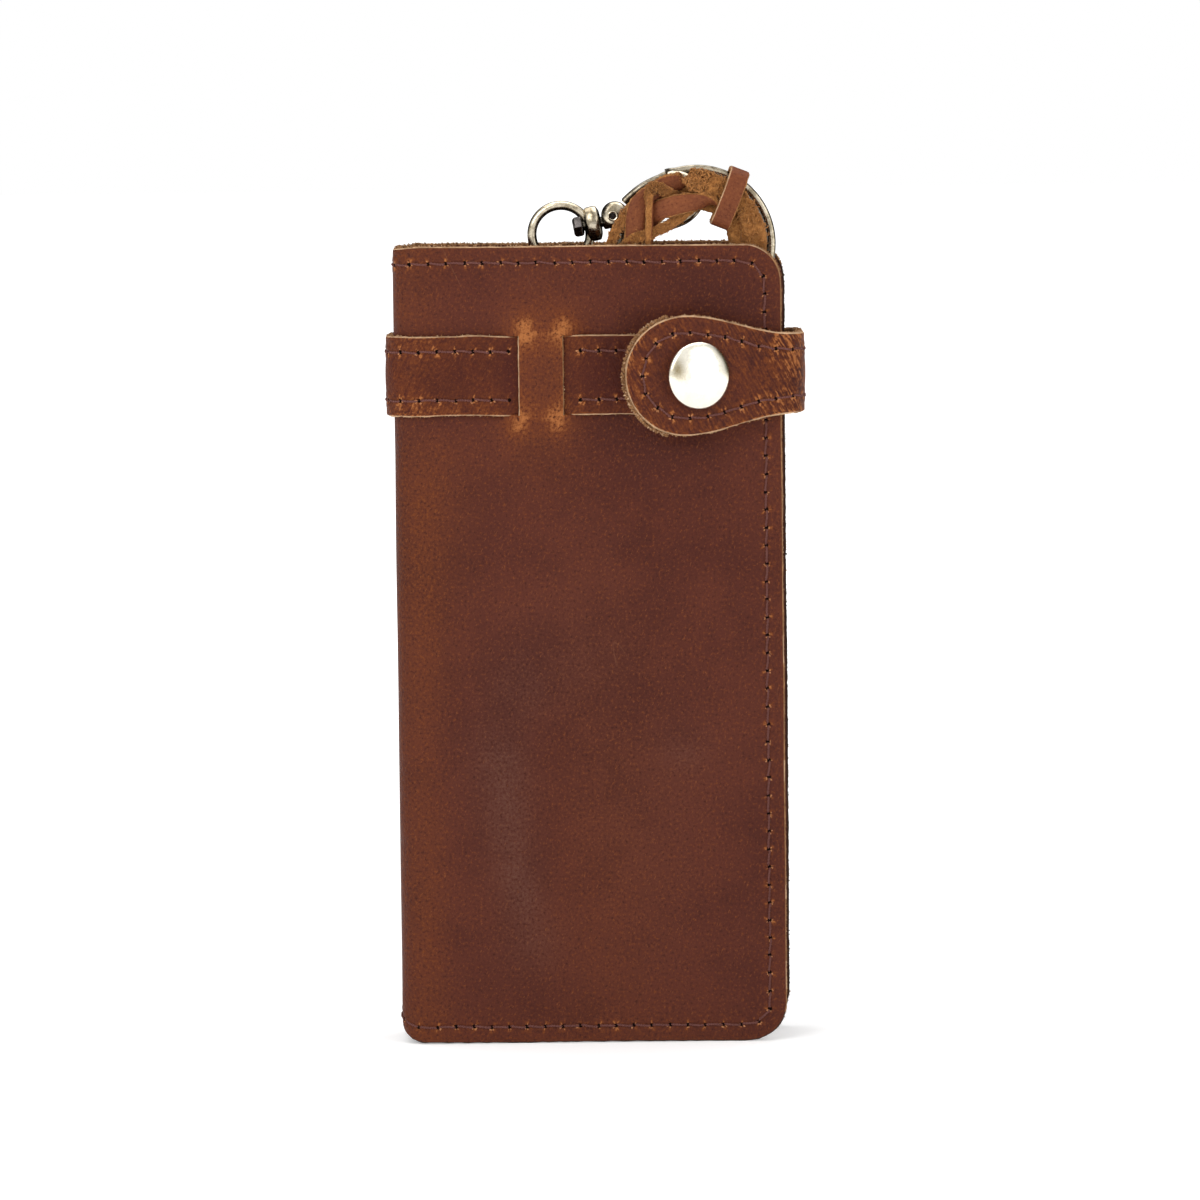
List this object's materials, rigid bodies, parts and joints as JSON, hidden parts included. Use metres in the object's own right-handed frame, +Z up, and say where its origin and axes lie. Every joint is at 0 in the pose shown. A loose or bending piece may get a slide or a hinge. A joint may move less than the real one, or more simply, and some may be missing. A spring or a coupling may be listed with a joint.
{
  "type": "long leather wallet",
  "caption": "Long book-fold leather wallet closed by a snap strap, with card slots, a zipped coin pocket and a braided lanyard with swivel hook and split ring.",
  "frame": {"origin": "middle of the outer box at the bottom edge, where the wallet stands", "axes": "+Z up along the long side, front cover faces -Y, spine at -X"},
  "size_m": [0.1024, 0.041, 0.214],
  "materials": {
    "hide": "waxed pull-up cowhide, rough cut edges",
    "strap_hide": "waxed cowhide strap, stitched along both edges",
    "inner_hide": "thin smooth cowhide",
    "suede": "split leather laces, smooth one side and rough the other",
    "lining": "woven lining",
    "zip_tape": "woven zip tape",
    "antique_brass": "antique bronze plate, brushed and darkened",
    "nickel": "polished pale nickel cap"
  },
  "bodies": {
    "wallet_back": {"back_cover": "hide", "bill_divider": "lining", "coin_pocket_lining": "lining", "coin_pocket_panel_wide": "inner_hide", "coin_pocket_panel_narrow": "inner_hide", "zip_tape_wide": "zip_tape", "zip_tape_narrow": "zip_tape", "zip_teeth_wide": "antique_brass", "zip_teeth_narrow": "antique_brass", "zip_bottom_stop": "antique_brass", "zip_top_stop": "antique_brass", "strap_back": "strap_hide", "lanyard_anchor": "inner_hide", "lanyard_braid": "suede", "ring_keeper": "strap_hide", "swivel_eye": "antique_brass"},
    "spine": {"spine_panel": "hide", "strap_spine": "strap_hide"},
    "front_cover": {"front_cover": "hide", "strap_front": "strap_hide", "snap_stud": "antique_brass", "card_backing": "lining", "card_slot_1": "inner_hide", "card_slot_2": "inner_hide", "card_slot_3": "inner_hide"},
    "strap_tab": {"strap_tab": "strap_hide", "snap_cap": "nickel", "snap_socket": "antique_brass"},
    "zip_slider": {"zip_slider": "antique_brass"},
    "zip_pull": {"zip_pull": "antique_brass"},
    "hook": {"hook_body": "antique_brass", "hook_rivet": "antique_brass"},
    "hook_gate": {"hook_gate": "antique_brass"},
    "split_ring": {"split_ring": "antique_brass"}
  },
  "joints": [
    {"name": "spine_fold", "type": "hinge", "parent": "wallet_back", "child": "spine", "pos_m": [-0.048, 0.0168, 0.0975], "axis": [0, 0, -1], "range_deg": [0, 90], "deforming": ["strap_tab", "snap_cap", "snap_socket"]},
    {"name": "cover_fold", "type": "hinge", "parent": "spine", "child": "front_cover", "pos_m": [-0.048, -0.0072, 0.0975], "axis": [0, 0, -1], "range_deg": [0, 90]},
    {"name": "strap_tab_swing", "type": "hinge", "parent": "wallet_back", "child": "strap_tab", "pos_m": [0.0446, 0.0193, 0.1637], "axis": [0, 0, 1], "range_deg": [0, 120]},
    {"name": "zip_slide", "type": "slide", "parent": "wallet_back", "child": "zip_slider", "axis": [0, 0, 1], "range_m": [0, 0.118]},
    {"name": "zip_pull_swing", "type": "hinge", "parent": "zip_slider", "child": "zip_pull", "pos_m": [0.029, 0.0066, 0.0225], "axis": [-1, 0, 0], "range_deg": [0, 30]},
    {"name": "hook_swivel", "type": "hinge", "parent": "wallet_back", "child": "hook", "pos_m": [0.0002, 0.0051, 0.2], "axis": [0.9816, 0, 0.1908], "continuous": true, "deforming": ["lanyard_braid"]},
    {"name": "hook_gate_press", "type": "hinge", "parent": "hook", "child": "hook_gate", "pos_m": [0.00483, 0.0051, 0.20187], "axis": [0, 1, 0], "range_deg": [0, 18], "stiffness_Nm_per_rad": 0.002},
    {"name": "ring_spin", "type": "hinge", "parent": "wallet_back", "child": "split_ring", "pos_m": [0.0253, 0.0125, 0.1945], "axis": [0, 1, 0], "continuous": true}
  ],
  "couplings": [
    {"joint": "cover_fold", "follows": "spine_fold", "ratio": 1}
  ]
}
